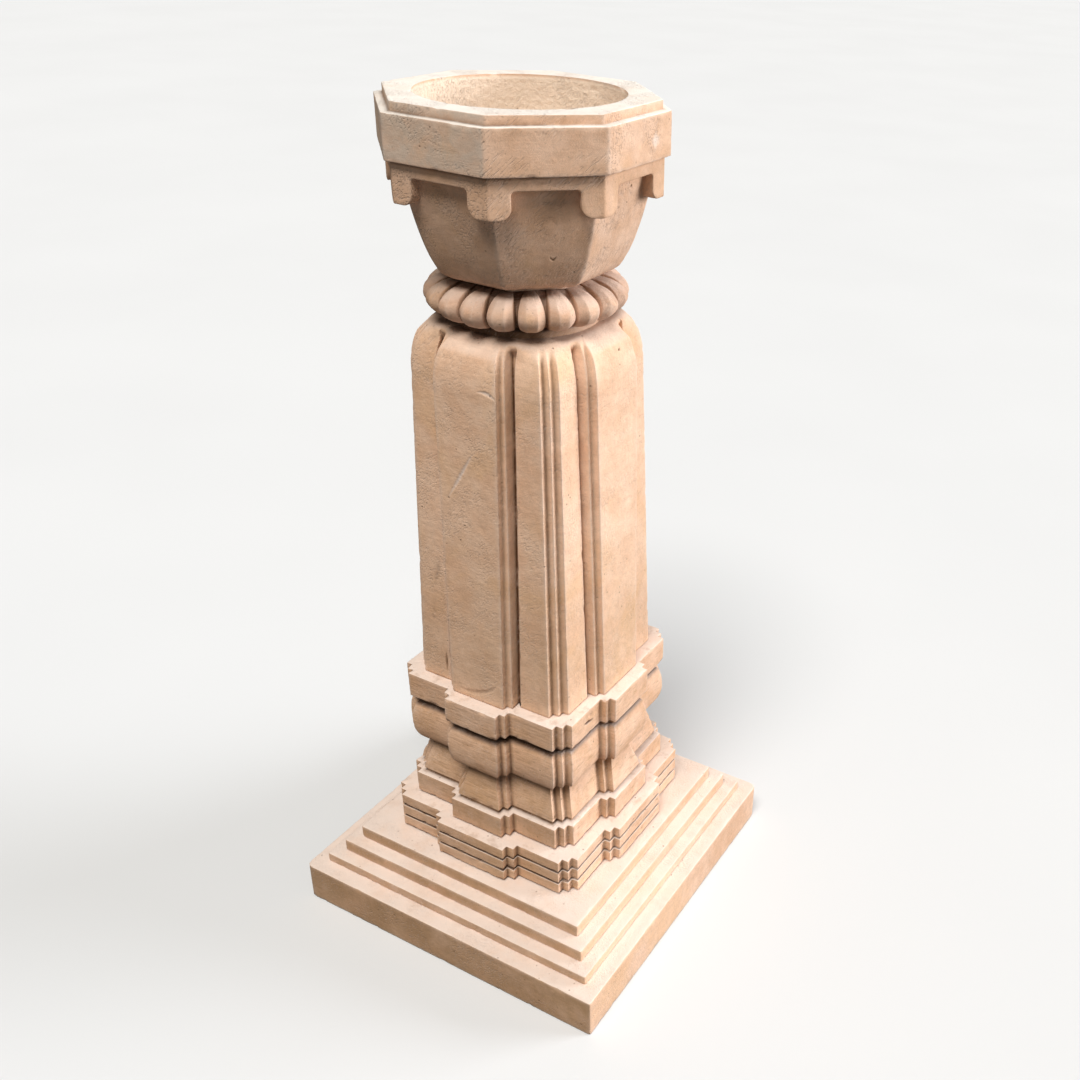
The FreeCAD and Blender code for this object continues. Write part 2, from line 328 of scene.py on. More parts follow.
def socket_kind(default):
    """The socket type that holds a default: a colour, a count or a measure. Text names the type itself."""
    if isinstance(default, str):
        return default
    if isinstance(default, tuple):
        return "NodeSocketColor"
    return "NodeSocketInt" if isinstance(default, int) else "NodeSocketFloat"


def new_group(name, kind, takes, gives):
    """A node group with named inputs, each with its default or its type, and named outputs of a type."""
    tree = bpy.data.node_groups.new(name, kind)
    for label, default in takes.items():
        socket = tree.interface.new_socket(label, in_out="INPUT", socket_type=socket_kind(default))
        if not isinstance(default, str):
            socket.default_value = default
    for label, socket_type in gives.items():
        tree.interface.new_socket(label, in_out="OUTPUT", socket_type=socket_type)
    return tree, tree.nodes.new("NodeGroupInput").outputs, tree.nodes.new("NodeGroupOutput").inputs


def hand_over(tree, asked, values):
    """Joins a group's results to its outputs by name."""
    for label, value in values.items():
        tree.links.new(value, asked[label])


def identifier(tree, label):
    for item in tree.interface.items_tree:
        if item.name == label and item.in_out == "INPUT":
            return item.identifier


# Worn stone surface, made as geometry

def painted_mesh(tree, geometry, material):
    """Ends a Geometry Nodes tree: real faces in their material."""
    real = node(tree, "GeometryNodeRealizeInstances", {"Geometry": geometry})
    sockets = {"Geometry": real.outputs[0], "Material": material}
    return node(tree, "GeometryNodeSetMaterial", sockets).outputs[0]


def make_dressing_tree():
    """Geometry Nodes that work a smooth block as by hand: slow waves, tool dents, pits, chipped arrises."""
    takes = {"Geometry": "NodeSocketGeometry", "Wave Depth": 0.0004, "Wave Size": 0.05, "Tool Depth": 0.0002,
             "Tool Size": 0.007, "Pit Depth": 0.0006, "Pit Size": 0.012, "Chip Depth": 0.0012,
             "Chip Size": 0.012, "Material": "NodeSocketMaterial"}
    gives = {"Geometry": "NodeSocketGeometry"}
    tree, given, asked = new_group("hand_dressing", "GeometryNodeTree", takes, gives)
    place = node(tree, "GeometryNodeInputPosition").outputs[0]
    normal = node(tree, "GeometryNodeInputNormal").outputs[0]
    wave = product(tree, noise(tree, place, given["Wave Size"], 1.0), given["Wave Depth"])
    tool = product(tree, noise(tree, place, given["Tool Size"], 1.0), given["Tool Depth"])
    cells = node(tree, "ShaderNodeTexVoronoi",
                 {"Vector": place, "Scale": maths(tree, "DIVIDE", 1.0, given["Pit Size"])})
    chosen = ramp(tree, axis(tree, cells.outputs["Color"], 0), 0.86, 0.97)
    pit = product(tree, ramp(tree, cells.outputs["Distance"], 0.34, 0.1), chosen, given["Pit Depth"])
    bite = ramp(tree, noise(tree, place, given["Chip Size"], 2.0), 0.52, 0.74)
    crest = maths(tree, "MAXIMUM", kept_value(tree, "crest"), 0.0)
    chip = product(tree, bite, given["Chip Depth"], crest)
    depth = total(tree, total(tree, wave, tool), total(tree, pit, chip))
    inward = product(tree, depth, kept_value(tree, "work"), -1.0)
    offset = node(tree, "ShaderNodeVectorMath", {0: normal, "Scale": inward}, operation="SCALE").outputs[0]
    moved = node(tree, "GeometryNodeSetPosition", {"Geometry": given["Geometry"], "Offset": offset})
    hand_over(tree, asked, {"Geometry": painted_mesh(tree, moved.outputs[0], given["Material"])})
    return tree


def make_bead_tree():
    """Geometry Nodes that set one carved bead round the axis, as many times as there are beads."""
    takes = {"Geometry": "NodeSocketGeometry", "Count": 20, "First Turn": 0.0,
             "Material": "NodeSocketMaterial"}
    gives = {"Geometry": "NodeSocketGeometry"}
    tree, given, asked = new_group("ring_of_beads", "GeometryNodeTree", takes, gives)
    points = node(tree, "GeometryNodePoints", {"Count": given["Count"]}).outputs[0]
    number = node(tree, "GeometryNodeInputIndex").outputs[0]
    turn = product(tree, number, maths(tree, "DIVIDE", math.tau, given["Count"]))
    around = node(tree, "ShaderNodeCombineXYZ", {"Z": total(tree, turn, given["First Turn"])})
    rotation = node(tree, "FunctionNodeEulerToRotation", {0: around.outputs[0]}).outputs[0]
    beads = node(tree, "GeometryNodeInstanceOnPoints",
                 {"Points": points, "Instance": given["Geometry"], "Rotation": rotation})
    hand_over(tree, asked, {"Geometry": painted_mesh(tree, beads.outputs[0], given["Material"])})
    return tree


def run_tree(thing, tree, values):
    """Works a node tree on an object and keeps the result as its plain mesh."""
    modifier = thing.modifiers.new(tree.name, "NODES")
    modifier.node_group = tree
    for label, value in values.items():
        modifier[identifier(tree, label)] = value
    graph = bpy.context.evaluated_depsgraph_get()
    graph.update()
    result = bpy.data.meshes.new_from_object(thing.evaluated_get(graph), depsgraph=graph)
    thing.modifiers.remove(modifier)
    thing.data = result


# Outlines and profiles

def softened(points, radius, spacing, closed, counts=None):
    """Points along a line with an arc at each sharp corner: (point, crest) pairs.
    Radius is one for all corners or a list. Crest is above 0 on an outward corner, below 0 on an
    inward one and 0 on the flat."""
    count = len(points)
    radii = radius if isinstance(radius, list) else [radius] * count
    entries, exits, arcs = [], [], []
    for number, corner in enumerate(points):
        if not closed and number in (0, count - 1):
            entries.append(corner)
            exits.append(corner)
            arcs.append([(corner, 0.0)])
            continue
        before = corner - points[number - 1]
        after = points[(number + 1) % count] - corner
        turn = before.normalized().cross(after.normalized())
        if abs(turn) < least_turn:
            entries.append(corner)
            exits.append(corner)
            arcs.append([(corner, 0.0)])
            continue
        reach = min(radii[number], corner_reach_share * before.length, corner_reach_share * after.length)
        entry = corner - before.normalized() * reach
        leave = corner + after.normalized() * reach
        entries.append(entry)
        exits.append(leave)
        arc = []
        for share in (0.0, 1 / 3, 2 / 3, 1.0):
            rest = 1 - share
            place = entry * rest * rest + corner * 2 * rest * share + leave * share * share
            arc.append((place, turn * (1 - abs(share - 0.5))))
        arcs.append(arc)
    made = []
    for number in range(count):
        made += arcs[number]
        if not closed and number == count - 1:
            break
        first = exits[number]
        last = entries[(number + 1) % count]
        parts = counts[number] if counts else max(1, math.ceil((last - first).length / spacing))
        ends = (arcs[number][-1][1], arcs[(number + 1) % count][0][1])
        carried = (last - first).length < short_side
        for part in range(1, parts):
            share = part / parts
            crest = ends[0] * (1 - share) + ends[1] * share if carried else 0.0
            made.append((first.lerp(last, share), crest))
    return made


def edge_counts(corners, spacing):
    """How many parts each side of a closed outline gets."""
    count = len(corners)
    lengths = [(corners[(number + 1) % count] - corners[number]).length for number in range(count)]
    return [max(1, math.ceil(length / spacing)) for length in lengths]


def square_corners(half):
    return [Vector(spot) for spot in ((half, -half), (half, half), (-half, half), (-half, -half))]


def octagon_corners(half):
    reach = half / math.cos(math.pi / 8)
    turns = [math.pi / 8 + number * math.pi / 4 for number in range(8)]
    return [Vector((reach * math.cos(turn), reach * math.sin(turn))) for turn in turns]


def plan_corners(plan):
    """Corners of the re-entrant plan: bay, nib, cut or step, pier and corner reeds on all four sides."""
    half, bay, step, nib, corner, groove, depth = plan
    front = half + step + step
    reed = bay + nib
    edge = half - corner - corner
    side = [(bay, -front), (bay, step - front), (reed, step - front)]
    if groove:
        side += [(reed, depth - half), (reed + groove, depth - half), (reed + groove, -half)]
    else:
        side += [(reed, -half)]
    side += [(edge, -half), (edge, corner - half), (half - corner, corner - half)]
    quarter = side + [(-y, -x) for x, y in reversed(side[:-1])]
    corners = []
    for turn in range(4):
        for x, y in quarter:
            for _ in range(turn):
                x, y = -y, x
            corners.append(Vector((x, y)))
    return corners


def grown(plan, grow):
    """The plan with every face moved out by the same length."""
    return (plan[0] + grow, plan[1] + grow) + plan[2:]


def blended(first, last, share):
    return tuple(a + (b - a) * share for a, b in zip(first, last))


# Skins

def skin(name, rows):
    """A closed mesh through rows of (points, level, profile crest, work), lowest first.
    Points are (place, crest) pairs. Work says how strongly the stone is tooled there: 0 on a bed.
    The mesh keeps crest, hollow and work as attributes."""
    places, crests, hollows, works, faces = [], [], [], [], []
    for points, level, profile_crest, work in rows:
        for place, crest in points:
            places.append((place.x, place.y, level))
            crests.append(max(crest, profile_crest, 0.0))
            hollows.append(max(-crest, -profile_crest, 0.0))
            works.append(work)
    width = len(rows[0][0])
    for number in range(len(rows) - 1):
        lower = number * width
        upper = lower + width
        for spot in range(width):
            back = spot - 1 if spot else width - 1
            faces.append((lower + back, lower + spot, upper + spot, upper + back))
    last = (len(rows) - 1) * width
    faces.append(tuple(range(width - 1, -1, -1)))
    faces.append(tuple(range(last, last + width)))
    mesh = bpy.data.meshes.new(name)
    mesh.from_pydata(places, [], faces)
    # Hollow values become grime and painted shade in the material; crest values become arris wear with a
    # painted highlight
    keep_values(mesh, crest=crests, hollow=hollows, work=works)
    mesh.polygons.foreach_set("use_smooth", [True] * len(mesh.polygons))
    return mesh


def keep_values(mesh, **labels):
    """Keeps a value for each of the mesh's points under each label."""
    for label, values in labels.items():
        layer = mesh.attributes.new(label, "FLOAT", "POINT")
        layer.data.foreach_set("value", values)


def joined_mesh(name, *parts):
    """One mesh that holds all the parts."""
    joined = bmesh.new()
    for part in parts:
        joined.from_mesh(part)
    mesh = bpy.data.meshes.new(name)
    joined.to_mesh(mesh)
    joined.free()
    mesh.polygons.foreach_set("use_smooth", [True] * len(mesh.polygons))
    return mesh


def gap(line, point):
    """Distance from a point to a line of places, and how far along the line it is nearest, from 0 to 1."""
    if len(line) == 1:
        return (point - line[0]).length, 0.5
    best = None
    for number in range(len(line) - 1):
        first, last = line[number], line[number + 1]
        foot, share = intersect_point_line(point, first, last)
        share = min(max(share, 0.0), 1.0)
        away = (point - first.lerp(last, share)).length
        if best is None or away < best[0]:
            best = (away, (number + share) / (len(line) - 1))
    return best


def looks_along(point, facing):
    """Whether a point's surface looks toward the angle that a face is turned to."""
    return point.normal.x * math.cos(facing) + point.normal.y * math.sin(facing) > face_share


def on_face(point, facing):
    """Where a point lies on the face that is turned to an angle: across it and up."""
    return Vector((point.co.y * math.cos(facing) - point.co.x * math.sin(facing), point.co.z, 0))


def near_mark(block, facing, line, reach):
    """Points of a mesh close to a mark on one face, each with its distance and its share of the way."""
    low = min(spot.y for spot in line) - reach
    high = max(spot.y for spot in line) + reach
    found = []
    for point in block.verts:
        if low < point.co.z < high and looks_along(point, facing):
            away, along = gap(line, on_face(point, facing))
            if away < reach:
                found.append((point, away, along))
    return found


def arc(across, level, form):
    """Places of a mark on its face: an arc (length, lean from level, rise of its ends) round its middle."""
    length, lean, rise = form
    if not length:
        return [Vector((across, level, 0))]
    line = []
    for number in range(-arc_half_count, arc_half_count + 1):
        share = number / arc_half_count
        along = share * length / 2
        aside = share * share * rise
        line.append(Vector((across + along * math.cos(lean) - aside * math.sin(lean),
                            level + along * math.sin(lean) + aside * math.cos(lean), 0)))
    return line


def score(mesh, name, marks):
    """Cuts scratches, pits and nicks: (face's turn, middle across it and above the stone's foot, arc, width
    and depth, scar). A mark thins out to its ends and its sides are ragged. Scar is above 0 where fresh
    pale stone shows and below 0 where grime has settled."""
    foot = levels(name)[0]
    block = bmesh.new()
    block.from_mesh(mesh)
    scars = block.verts.layers.float.new("scar")
    for facing, (across, up), form, (width, depth), scar in marks:
        line = arc(across, foot + up, form)
        block.normal_update()
        close = {point for point, away, along in near_mark(block, facing, line, width + 2 * mesh_pitch)}
        near = [edge for edge in block.edges if edge.verts[0] in close and edge.verts[1] in close]
        bmesh.ops.subdivide_edges(block, edges=near, cuts=mark_cuts, use_grid_fill=True)
        block.normal_update()
        moves = []
        for point, away, along in near_mark(block, facing, line, 2 * width):
            bulge = math.sin(math.pi * min(max(along, 0.02), 0.98))
            taper = mark_end_share + (1 - mark_end_share) * bulge
            ragged = 1 + raggedness * noise_at(point.co * ragged_scale)
            share = away / (width * taper * ragged)
            if share < 1:
                moves.append((point, point.normal.copy(), taper * (1 - share * share) ** 2))
        for point, normal, fall in moves:
            point.co -= normal * depth * fall
            point[scars] += scar * fall
    block.to_mesh(mesh)
    block.free()
    mesh.polygons.foreach_set("use_smooth", [True] * len(mesh.polygons))


def steepness(line, number):
    """How upright a profile runs at one of its points: 0 where it is level, 1 where it is plumb."""
    before = line[max(number - 1, 0)]
    after = line[min(number + 1, len(line) - 1)]
    run = after - before
    return abs(run.y) / max(run.length, arris_radius / 100)


def course_rows(profile, corners_at, painted_shade_spans):
    """Rows of a course: its profile of (grow, level) points, swept round the outline corners_at(grow).
    The outline's corners mark upright arrises alone, so they fade where the profile runs level.
    Painted shade lies in spans of (low, high, fade, strength): joints, recesses and undersides are darkened."""
    counts = edge_counts(corners_at(0.0), mesh_pitch)
    worn = softened([Vector(point) for point in profile], arris_radius, mesh_pitch, False)
    line = [place for place, crest in worn]
    rows = []
    for number, (place, crest) in enumerate(worn):
        plumb = steepness(line, number)
        shade_share = painted_shade_at(place, painted_shade_spans)
        unshaded_share = 1 - shade_share
        ring = softened(corners_at(place.x), arris_radius, mesh_pitch, True, counts)
        ring = [(spot, bend * plumb * unshaded_share - shade_share) for spot, bend in ring]
        rows.append((ring, place.y, crest * unshaded_share - shade_share, 0.0 if place.y <= line[0].y else 1.0))
    return rows


def painted_shade_at(place, painted_shade_spans):
    """How much painted shade a place on a profile gets, from 0 to 1: only where it is set back from the
    outline.
    """
    if place.x > -0.99 * arris_radius:
        return 0.0
    shade_share = 0.0
    for low, high, fade, strength in painted_shade_spans:
        away = max(low - place.y, place.y - high, 0.0)
        shade_share = max(shade_share, strength * max(0.0, 1 - away / fade))
    return shade_share


def levels(name):
    low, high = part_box(name)
    return low.z, high.z


def widest(name):
    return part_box(name)[1].x


# Finishing

dressing = make_dressing_tree()
bead_tree = make_bead_tree()


def place_in_scene(thing):
    bpy.context.scene.collection.objects.link(thing)


def finish_piece(name, mesh, body, cad_nodes, material, dress):
    """A dressed, painted piece that rides on its body in place of its CAD nodes."""
    thing = bpy.data.objects.new(name, mesh)
    place_in_scene(thing)
    run_tree(thing, dressing, dict(dress, Material=material))
    thing.data.name = name
    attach(thing, body)
    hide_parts(*cad_nodes)


# Stone finishes

def make_grain_group():
    """Sandstone colour: slow clouds between two tints, a third stain, painted shade on the faces turned to
    -Y, a darker tint toward the foot, a chalky bloom, a sandy grain and scattered specks."""
    takes = {"Light Tint": (0.7, 0.5, 0.34, 1), "Deep Tint": (0.55, 0.36, 0.22, 1),
             "Stain Tint": (0.8, 0.53, 0.28, 1), "Stain Strength": 0.4, "Shade Side And Foot Tint": (0.42, 0.26, 0.14, 1),
             "Painted Shade Face": 0.0, "Darker Foot": 0.0, "Bloom Tint": (0.66, 0.6, 0.54, 1), "Bloom Strength": 0.0,
             "Bloom Level": 0.0, "Cloud Size": 0.09, "Grain Size": 0.0013, "Grain Strength": 0.75}
    gives = {"Color": "NodeSocketColor", "Grain": "NodeSocketFloat"}
    tree, given, asked = new_group("sandstone_grain", "ShaderNodeTree", takes, gives)
    place = object_place(tree)
    normal = surface_normal(tree)
    level = axis(tree, place, 2)

    clouds = noise(tree, place, given["Cloud Size"], 5.0, 0.62, 0.6)
    stains = noise(tree, place, 0.021, 4.0, 0.6)
    share = ramp(tree, total(tree, product(tree, clouds, 0.65), product(tree, stains, 0.35)), 0.36, 0.64)
    tint = mix(tree, share, given["Deep Tint"], given["Light Tint"])
    seep = ramp(tree, noise(tree, place, 0.13, 4.0, 0.65, 0.8), 0.48, 0.68)
    tint = mix(tree, product(tree, seep, given["Stain Strength"]), tint, given["Stain Tint"])

    blotches = ramp(tree, noise(tree, place, 0.045, 4.0, 0.65), 0.3, 0.62, 0.55, 1.0)
    # Painted shade: faces turned to -Y are darkened, as on the shaded side
    face = product(tree, ramp(tree, axis(tree, normal, 1), -0.5, -0.9), given["Painted Shade Face"])
    # Darker toward the bottom
    foot = product(tree, ramp(tree, level, 0.55, 0.3), given["Darker Foot"])
    shade_side_and_foot = product(tree, maths(tree, "MAXIMUM", face, foot), blotches)
    tint = mix(tree, shade_side_and_foot, tint, given["Shade Side And Foot Tint"])

    above = ramp(tree, maths(tree, "SUBTRACT", level, given["Bloom Level"]), 0.0, 0.004)
    toward_left = ramp(tree, aligned(tree, normal, bloom_direction), 0.2, 1.0)
    chalky = ramp(tree, noise(tree, place, 0.03, 5.0, 0.7, 0.5), 0.35, 0.62, 0.35, 1.0)
    bloom = product(tree, above, toward_left, chalky, given["Bloom Strength"])
    tint = mix(tree, bloom, tint, given["Bloom Tint"])

    grain = noise(tree, place, given["Grain Size"], 4.0, 0.75)
    coarse = noise(tree, place, 0.0065, 3.0, 0.65)
    fine = maths(tree, "SUBTRACT", total(tree, product(tree, grain, 0.6), product(tree, coarse, 0.4)), 0.5)
    specks = ramp(tree, noise(tree, place, 0.0027, 1.0), 0.7, 0.78, 1.0, 0.8)
    gain = product(tree, total(tree, 1.0, product(tree, fine, given["Grain Strength"])), specks)
    grey = node(tree, "ShaderNodeCombineColor", {0: gain, 1: gain, 2: gain}).outputs[0]
    hand_over(tree, asked, {"Color": mix(tree, 1.0, tint, grey, blend_type="MULTIPLY"), "Grain": grain})
    return tree


def make_wear_group():
    """Pale arrises of wear and painted highlight, pale tops of dust, dark recesses of grime and painted
    shade.
    """
    takes = {"Color": (0.6, 0.45, 0.3, 1), "Dust And Highlight Tint": (0.85, 0.68, 0.5, 1),
             "Grime And Shade Tint": (0.2, 0.11, 0.06, 1), "Arris Wear And Highlight": 0.38, "Dust Strength": 0.5,
             "Grime And Shade Strength": 0.9, "Inside Painted Light Tint": (0.97, 0.84, 0.72, 1), "Inside Painted Light Strength": 0.9,
             "Lit Side Easing": 0.5}
    tree, given, asked = new_group("handling_and_dust", "ShaderNodeTree", takes, {"Color": "NodeSocketColor"})
    place = object_place(tree)
    scar = painted_value(tree, "scar")

    broken = ramp(tree, noise(tree, place, 0.014, 3.0, 0.6), 0.3, 0.6, 0.35, 1.0)
    # Pale arrises: wear, with a painted highlight
    edge = product(tree, painted_value(tree, "crest"), broken, given["Arris Wear And Highlight"], clamp=True)
    upward = ramp(tree, axis(tree, surface_normal(tree), 2), 0.35, 0.95)
    patchy = ramp(tree, noise(tree, place, 0.03, 3.0, 0.6), 0.2, 0.6, 0.75, 1.0)
    dust = product(tree, upward, patchy, given["Dust Strength"], clamp=True)
    # Painted light: the bowl's inside is painted lighter, standing in for the light that fills it
    inside = product(tree, ramp(tree, painted_value(tree, "work"), 1.1, 2.2), given["Inside Painted Light Strength"])
    inside_lightened = mix(tree, inside, given["Color"], given["Inside Painted Light Tint"])
    pale = maths(tree, "MAXIMUM", maths(tree, "MAXIMUM", edge, dust), scar, True)
    lighter = mix(tree, pale, inside_lightened, given["Dust And Highlight Tint"])

    # Dark recesses: grime with painted shade, eased on the lit +X side
    uneven = ramp(tree, noise(tree, place, 0.02, 3.0, 0.6), 0.15, 0.6, 0.6, 1.0)
    grime_and_shade = product(tree, painted_value(tree, "hollow"), given["Grime And Shade Strength"], uneven)
    sideways = maths(tree, "ABSOLUTE", axis(tree, place, 1))
    toward = ramp(tree, maths(tree, "SUBTRACT", axis(tree, place, 0), sideways), -0.01, 0.02)
    lit_side_easing = maths(tree, "SUBTRACT", 1.0, product(tree, toward, given["Lit Side Easing"]))
    grime_and_shade = maths(tree, "MAXIMUM", product(tree, grime_and_shade, lit_side_easing), product(tree, scar, -0.9), True)
    hand_over(tree, asked, {"Color": mix(tree, grime_and_shade, lighter, given["Grime And Shade Tint"])})
    return tree


def make_relief_group():
    """Height of the fine surface: sand grain, pin holes, level streaks of the claw chisel and slanting
    scratches of the rasp."""
    takes = {"Grain": 0.5, "Grain Depth": 0.0003, "Rasp Depth": 0.00025, "Rasp Size": 0.0016,
             "Lump Depth": 0.0004, "Lump Size": 0.0065, "Hollow Depth": 0.0022, "Hole Depth": 0.0004,
             "Hole Size": 0.006, "Streak Depth": 0.0002, "Streak Size": 0.003, "Streak Length": 9.0}
    gives = {label: "NodeSocketFloat" for label in ("Height", "Holes", "Scratches", "Beds")}
    tree, given, asked = new_group("chiselled_relief", "ShaderNodeTree", takes, gives)
    place = object_place(tree)
    sand = product(tree, given["Grain"], given["Grain Depth"])
    cells = node(tree, "ShaderNodeTexVoronoi",
                 {"Vector": place, "Scale": maths(tree, "DIVIDE", 1.0, given["Hole Size"])})
    chosen = ramp(tree, axis(tree, cells.outputs["Color"], 0), 0.9, 1.0)
    holes = product(tree, ramp(tree, cells.outputs["Distance"], 0.24, 0.08), chosen)
    squeeze = maths(tree, "DIVIDE", 1.0, given["Streak Length"])
    level_pull = node(tree, "ShaderNodeCombineXYZ", {"X": squeeze, "Y": squeeze, "Z": 1.0}).outputs[0]
    lines = noise(tree, stretched(tree, place, level_pull), given["Streak Size"], 3.0, 0.65)
    streaks = product(tree, lines, given["Streak Depth"])
    inside = product(tree, ramp(tree, painted_value(tree, "work"), 1.2, 3.0), given["Hollow Depth"])
    lump_depth = total(tree, given["Lump Depth"], inside)
    lumps = product(tree, noise(tree, place, given["Lump Size"], 4.0, 0.65), lump_depth)
    slant = {number: aligned(tree, place, direction) for number, direction in enumerate(rasp_directions)}
    turned = node(tree, "ShaderNodeCombineXYZ", slant).outputs[0]
    rasped = ramp(tree, noise(tree, turned, given["Rasp Size"], 2.0, 0.6), 0.5, 0.66)
    scratches = product(tree, rasped, ramp(tree, noise(tree, place, 0.035, 2.0), 0.42, 0.6))
    sunk = product(tree, holes, given["Hole Depth"])
    height = maths(tree, "SUBTRACT", total(tree, sand, lumps, streaks), sunk)
    height = maths(tree, "SUBTRACT", height, product(tree, scratches, given["Rasp Depth"]))
    hand_over(tree, asked, {"Height": height, "Scratches": scratches, "Beds": ramp(tree, lines, 0.48, 0.3),
                            "Holes": holes})
    return tree


grain_group = make_grain_group()
wear_group = make_wear_group()
relief_group = make_relief_group()


def new_material(name):
    """A material without nodes, and its tree."""
    material = bpy.data.materials.new(name)
    material.use_nodes = True
    material.node_tree.nodes.clear()
    return material, material.node_tree


def show(tree, sockets):
    """Ends a material: a surface shader with these sockets."""
    shader = node(tree, "ShaderNodeBsdfPrincipled", sockets)
    output = node(tree, "ShaderNodeOutputMaterial")
    tree.links.new(shader.outputs[0], output.inputs["Surface"])


def make_sandstone(name, grain, wear, relief, bed_shade=0.1):
    """One stone's finish: the shared groups with its own values, on a matt stone shader.
    Bed shade is how strongly the stone's level bedding shows as brown lines."""
    material, tree = new_material(name)
    grained = node(tree, "ShaderNodeGroup", grain, node_tree=grain_group).outputs
    worn = node(tree, "ShaderNodeGroup", dict(wear, Color=grained["Color"]), node_tree=wear_group).outputs
    cut = node(tree, "ShaderNodeGroup", dict(relief, Grain=grained["Grain"]), node_tree=relief_group).outputs
    color = mix(tree, product(tree, cut["Holes"], hole_shade), worn["Color"], hole_brown)
    color = mix(tree, product(tree, cut["Scratches"], scratch_shade), color, cream_dust_and_highlight)
    color = mix(tree, product(tree, cut["Beds"], bed_shade), color, bedding_brown)
    bump = node(tree, "ShaderNodeBump", {"Height": cut["Height"], "Distance": 1.0}).outputs[0]
    rough = ramp(tree, grained["Grain"], 0.2, 0.8, 0.82, 0.96)
    show(tree, {"Base Color": color, "Roughness": rough, "Normal": bump, "Specular IOR Level": 0.25})
    return material


bowl_rim_foot = levels("bowl")[0] + bowl_body_height

base_grain = {"Light Tint": pale_peach, "Deep Tint": warm_tan, "Stain Tint": golden_stain}
base_wear = {"Dust And Highlight Tint": cream_dust_and_highlight, "Grime And Shade Tint": grime_and_shade_brown}

course_wear = dict(base_wear, **{"Grime And Shade Strength": 0.95, "Dust Strength": 0.95})
course_relief = {"Streak Depth": 0.0008, "Streak Length": 6.0, "Rasp Depth": 0.0001}

# The plinth and the courses carry painted shade on their -Y faces; the low courses carry more
plinth_stone = make_sandstone(
    "plinth_sandstone", dict(base_grain, **{"Cloud Size": 0.12, "Painted Shade Face": 0.75}),
    dict(base_wear, **{"Dust Strength": 0.95}), {"Streak Depth": 0.00025})
course_stone = make_sandstone(
    "course_sandstone", dict(base_grain, **{"Cloud Size": 0.07, "Painted Shade Face": 0.2}),
    course_wear, course_relief, 0.3)
low_course_stone = make_sandstone(
    "low_course_sandstone_painted_shade", dict(base_grain, **{"Cloud Size": 0.07, "Painted Shade Face": 0.5}),
    dict(course_wear, **{"Arris Wear And Highlight": 0.12}), course_relief, 0.3)
shaft_stone = make_sandstone(
    "shaft_sandstone",
    {"Light Tint": (0.96, 0.69, 0.525, 1), "Deep Tint": (0.85, 0.555, 0.385, 1),
     "Stain Tint": golden_stain, "Darker Foot": 0.4},
    dict(base_wear, **{"Grime And Shade Strength": 1.25}),
    {"Streak Depth": 0.00022, "Lump Depth": 0.0007, "Rasp Depth": 0.0003})
bead_stone = make_sandstone(
    "bead_sandstone",
    {"Light Tint": (0.84, 0.58, 0.44, 1), "Deep Tint": (0.68, 0.43, 0.3, 1),
     "Stain Tint": golden_stain, "Cloud Size": 0.05},
    base_wear, {"Lump Depth": 0.0006})
bowl_stone = make_sandstone(
    "bowl_sandstone", dict(base_grain, **{"Bloom Strength": 0.75, "Bloom Level": bowl_rim_foot}),
    dict(base_wear, **{"Dust And Highlight Tint": white_dust_and_highlight, "Dust Strength": 1.0, "Arris Wear And Highlight": 0.25}),
    {"Streak Depth": 0.0002, "Rasp Depth": 0.0006}, 0.05)

calm_dress = {"Wave Depth": 0.0005, "Wave Size": 0.06, "Tool Depth": 0.00022, "Tool Size": 0.009,
              "Pit Depth": 0.0007, "Pit Size": 0.016, "Chip Depth": 0.0011, "Chip Size": 0.013}
rough_dress = dict(calm_dress, **{"Wave Depth": 0.0006, "Tool Depth": 0.00045, "Pit Depth": 0.0011,
                                  "Pit Size": 0.011, "Chip Depth": 0.0016})


# Pieces

def make_square_stone(name, corner_radii):
    """A square slab or step with worn arrises. The first corner is the near right one."""
    bottom, top = levels(name)
    half = widest(name)
    counts = edge_counts(square_corners(half), mesh_pitch)
    profile = [Vector(spot) for spot in ((-bed_depth, bottom), (0.0, bottom), (0.0, top), (-bed_depth, top))]
    rows = []
    for place, crest in softened(profile, step_arris_radius, mesh_pitch, False):
        ring = softened(square_corners(half + place.x), corner_radii, mesh_pitch, True, counts)
        calm = [(spot, bend * calm_corner_share) for spot, bend in ring]
        rows.append((calm, place.y, crest, 0.0 if place.y <= bottom else 1.0))
    return skin(name, rows)


def make_plinth():
    slab_corners = [plinth_near_corner_radius] + [plinth_corner_radius] * 3
    step_corners = [step_corner_radius] * 4
    stones = {"plinth_slab": slab_corners, "plinth_step_lower": step_corners,
              "plinth_step_middle": step_corners, "plinth_step_upper": step_corners}
    for name, corner_radii in stones.items():
        mesh = make_square_stone(name, corner_radii)
        finish_piece("carved_" + name, mesh, "pedestal", [name], plinth_stone, calm_dress)


def layered_outline(name):
    half = widest(name) - layered_bay_step - layered_bay_step
    plan = (half, layered_bay_half, layered_bay_step, layered_nib, layered_corner_step, 0, 0)
    return lambda grow: plan_corners(grown(plan, grow))


def pedestal_outline(name):
    half = widest(name) - pedestal_bay_step - pedestal_bay_step
    plan = (half, pedestal_bay_half, pedestal_bay_step, pedestal_nib, pedestal_corner_step, 0, 0)
    return lambda grow: plan_corners(grown(plan, grow))


def raked_foot(bottom):
    """The set-back strip that leaves a dark joint line over the stone below."""
    joint_top = bottom + joint_height
    return [(-bed_depth / 2, bottom), (-joint_depth, bottom), (-joint_depth, joint_top), (0.0, joint_top)]


def finish_course(name, profile, outline, painted_shade_spans, material, marks=()):
    """A course: its profile swept round its outline, with the marks that the photograph shows on it."""
    block = skin(name, course_rows(profile, outline(name), painted_shade_spans))
    if marks:
        score(block, name, marks)
    finish_piece("carved_" + name, block, "pedestal", [name], material, rough_dress)


